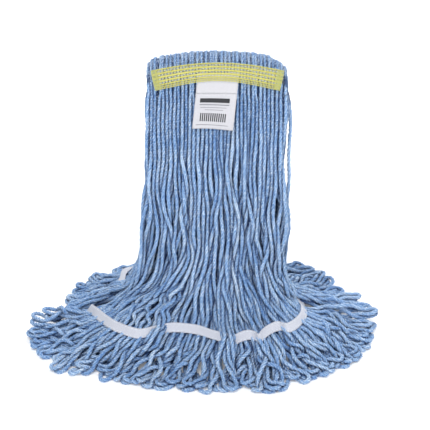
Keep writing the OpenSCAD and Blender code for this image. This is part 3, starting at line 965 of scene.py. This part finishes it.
def buildBand():
    # ribs run across the tape and pinch together in pairs at the open rows; finer picks run along it
    ribs = int(band["long"] / band["ribPitch"])
    half = band["long"] / 2
    paths = []
    for k in range(ribs):
        along = -half + (k + 0.5) * band["long"] / ribs
        pull = band["pinch"] * (1 if k % 2 == 0 else -1)
        path = []
        for down in np.linspace(0, band["high"], 34):
            nearest = min(abs(down / mm - row) for row in band["holeRows"])
            pinch = pull * math.exp(-(nearest / band["pinchWide"]) ** 2)
            path.append(onBand(along + pinch, down, band["thread"] + band["weave"]))
        paths.append(np.array(path))
    for n, row in enumerate(band["weftRows"]):
        path = []
        for k in range(2 * ribs + 1):
            along = -half + k * band["long"] / (2 * ribs)
            over = band["weave"] * (1 - math.cos(math.pi * (k + n % 2 * 2)))
            path.append(onBand(along, row * mm, band["thread"] + over * 0.9))
        paths.append(np.array(path))
    piece = makeThreads("headbandMesh", paths, band["thread"], bandMaterial)
    fitPiece(piece, "head", "headband_outer")


def buildHem(name, side, node):
    # the band's end, turned back on itself: a second, paler layer
    paths = []
    end = band["long"] / 2
    for k in range(hem["ribs"]):
        along = side * (end - hem["inset"] - k * hem["pitch"])
        downs = np.linspace(0.4 * mm, band["high"] - 0.4 * mm, 20)
        paths.append(np.array([onBand(along, down, hem["ribLift"]) for down in downs]))
    for row in np.linspace(0.9, 24.1, hem["picks"]):
        alongs = [side * (end - u * hem["deep"]) for u in np.linspace(0, 1, 6)]
        paths.append(np.array([onBand(along, row * mm, hem["pickLift"]) for along in alongs]))
    fitPiece(makeThreads(name, paths, band["thread"], hemMaterial), "head", node)


def buildBandStitches():
    # a row of pale stitches over the ribs at each open row of the mesh
    count = int((band["long"] - 12 * mm) / (2 * band["ribPitch"]))
    for n, row in enumerate(band["holeRows"]):
        paths = []
        for k in range(count):
            along = (k - (count - 1) / 2) * 2 * band["ribPitch"]
            down = row * mm + bandStitch["sway"] * math.sin(3 * k)
            paths.append(np.array([onBand(along + u * bandStitch["half"], down,
                                          bandStitch["lift"] - bandStitch["dip"] * u * u)
                                   for u in (-1, -0.5, 0, 0.5, 1)]))
        piece = makeThreads(f"headbandStitchRow_{n + 1}", paths, bandStitch["radius"], threadMaterial)
        fitPiece(piece, "head", f"headband_stitch_row_{n + 1}")


def buildLiner():
    # the tape inside the fold that a handle's bar bears on, ribbed a little along its length
    low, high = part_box("headband_liner")
    radius = (high.y - low.y) / 2 - 0.4 * mm
    angles = np.linspace(0.02, math.pi - 0.02, 15)
    rows = []
    for k in range(80):
        x, rib = low.x + (high.x - low.x) * k / 79, 0.12 * mm * (k % 2)
        rows.append([Vector((x, -radius * math.cos(a), low.z + radius * math.sin(a) + rib)) for a in angles])
    piece = ribbon("headbandLiner", rows, 0.6 * mm, bandMaterial)
    fitPiece(piece, "head", "headband_liner")


buildBand()
buildHem("headbandHemLeft", -1, "headband_hem_left")
buildHem("headbandHemRight", 1, "headband_hem_right")
buildBandStitches()
buildLiner()

# Label, hanging askew from the band's lower edge
labelPart = {"wide": 50 * mm, "thick": 0.3 * mm, "lean": math.radians(6), "dip": math.radians(2.7),
             "bottom": 286.5 * mm, "stand": 3.2 * mm, "wave": 0.6 * mm, "waveTurn": 110, "curl": 2.2 * mm,
             "hingeGap": 1.2 * mm, "sewnGap": 0.06 * mm, "sewnRise": 7 * mm, "sewnBehind": 0.5 * mm}
# Generic printed marks: left, right, top and bottom of each, in millimetres from the label's middle and top
labelMarks = [("labelTitleBar", inkMaterial, [(-19, 17, 17.5, 23.0)]),
              ("labelRules", softInkMaterial, [(-19, 17, 25.2, 26.3), (-18, 14, 29.0, 29.6),
                                               (-12, 10, 32.0, 32.6), (-21, 18, 51.0, 51.7)]),
              ("labelStripes", inkMaterial, [(-17 + 2.5 * k, -15.6 + 2.5 * k, 36.5, 47.0) for k in range(13)])]


def labelSpot(across, z, lift=0.0):
    # across from the label's middle; the sheet leaves the band's lower edge and hangs clear of the yarn
    drop = max(0.0, (foldZ - 4 * mm) - z)
    y = -(foldRadius + labelPart["stand"] * float(smooth(0, 14 * mm, drop)))
    y -= labelPart["wave"] * math.sin(across * labelPart["waveTurn"]) * float(smooth(10 * mm, 56 * mm, drop))
    y -= labelPart["curl"] * float(smooth(30 * mm, 60 * mm, drop)) * (abs(across) / (25 * mm)) ** 2
    lean = labelPart["lean"]
    x = headCentre + across * math.cos(lean) - (foldZ - 6 * mm - z) * math.tan(lean)
    level = across * math.sin(labelPart["dip"]) * float(smooth(0, 50 * mm, drop))
    return Vector((x, y - lift, z - level - 0.3 * across * across / fold["archRadius"]))


def printMark(name, material, boxes):
    made = bmesh.new()
    ink = labelPart["thick"] + 0.12 * mm
    for left, right, high, low in boxes:
        grid = bmesh.ops.create_grid(made, x_segments=6 if right - left > 5 else 1, y_segments=3, size=0.5)
        for vertex in grid["verts"]:
            across = (left + (vertex.co.x + 0.5) * (right - left)) * mm
            down = (low + (vertex.co.y + 0.5) * (high - low)) * mm
            vertex.co = labelSpot(across, foldZ - 6 * mm - down, ink)
    piece = addPiece(name, thicken(made, name, 0.06 * mm), material)
    fitPiece(piece, "label")
    return piece


def buildLabel():
    # the hanging sheet starts just under its hinge line, so that it turns clear of the sewn edge
    top, sewnTop = hingeZ - labelPart["hingeGap"], foldZ + labelPart["sewnRise"]
    across = np.linspace(-0.5, 0.5, 21) * labelPart["wide"]
    rows = [[labelSpot(x, z) for x in across] for z in np.linspace(top, labelPart["bottom"], 24)]
    hanging = ribbon("labelSheet", rows, labelPart["thick"], labelMaterial)
    fitPiece(hanging, "label", "label")
    marks = [printMark(*mark) for mark in labelMarks]
    rows = []
    for z in np.linspace(sewnTop, top + labelPart["sewnGap"], 12):
        behind = labelPart["sewnBehind"] * float(smooth(top, top + 2 * mm, z))
        rows.append([labelSpot(x, z, -behind) for x in across])
    sewn = ribbon("labelSewnEdge", rows, labelPart["thick"], labelMaterial)
    fitPiece(sewn, "head", "label_sewn_edge")


buildLabel()
print("mop: tapes, headband and label made")


def buildStudio():
    # seamless white paper: matt, and so even that it shows no grain from here
    floorMaterial, tree, shader = newMaterial("seamlessPaper", {"Roughness": 0.9,
                                                                "Emission Color": (1, 1, 1, 1)})
    where = addNode(tree, "ShaderNodeTexCoord").outputs["Object"]
    grain = addNode(tree, "ShaderNodeTexNoise", {"Scale": 300.0, "Detail": 2.0}, Vector=where).outputs["Fac"]
    paper = addNode(tree, "ShaderNodeValToRGB", {"stops": [(0.0, "#FAFAFA"), (1.0, "#FFFFFF")]}, i0=grain)
    tree.links.new(paper.outputs["Color"], shader.inputs["Base Color"])
    # the paper glows away from the mop, so that it stays white where the lamps don't reach
    away = addNode(tree, "ShaderNodeVectorMath", {"operation": "LENGTH"}, i0=where).outputs["Value"]
    glow = addNode(tree, "ShaderNodeMapRange", {
        "From Min": studio["glowFrom"], "From Max": studio["glowTo"],
        "To Min": studio["glowNear"], "To Max": studio["glowFar"]}, Value=away).outputs["Result"]
    tree.links.new(glow, shader.inputs["Emission Strength"])
    made = bmesh.new()
    bmesh.ops.create_grid(made, x_segments=2, y_segments=2, size=12.0)
    mesh = bpy.data.meshes.new("studioFloor")
    made.to_mesh(mesh)
    made.free()
    mesh.shade_smooth()
    addPiece("studioFloor", mesh, floorMaterial)
    world = bpy.data.worlds.new("studioWorld")
    world.use_nodes = True
    # a pale horizon all round, dimmer overhead
    tree = world.node_tree
    direction = addNode(tree, "ShaderNodeTexCoord").outputs["Generated"]
    height = addNode(tree, "ShaderNodeSeparateXYZ", i0=direction).outputs["Z"]
    level = addNode(tree, "ShaderNodeMapRange", {
        "From Min": studio["horizonTo"], "From Max": studio["skyFrom"],
        "To Min": studio["horizon"], "To Max": studio["sky"]}, Value=height).outputs["Result"]
    tree.nodes["Background"].inputs["Color"].default_value = (1, 1, 1, 1)
    tree.links.new(level, tree.nodes["Background"].inputs["Strength"])
    scene.world = world
    for name, place, size, power in studio["lamps"]:
        light = bpy.data.lights.new(name, "AREA")
        light.size = size
        light.energy = power
        lamp = bpy.data.objects.new(name, light)
        lamp.location = place
        lamp.rotation_euler = (Vector(studio["lampAim"]) - Vector(place)).to_track_quat("-Z", "Y").to_euler()
        scene.collection.objects.link(lamp)
    scene.view_settings.view_transform = "Standard"


buildStudio()
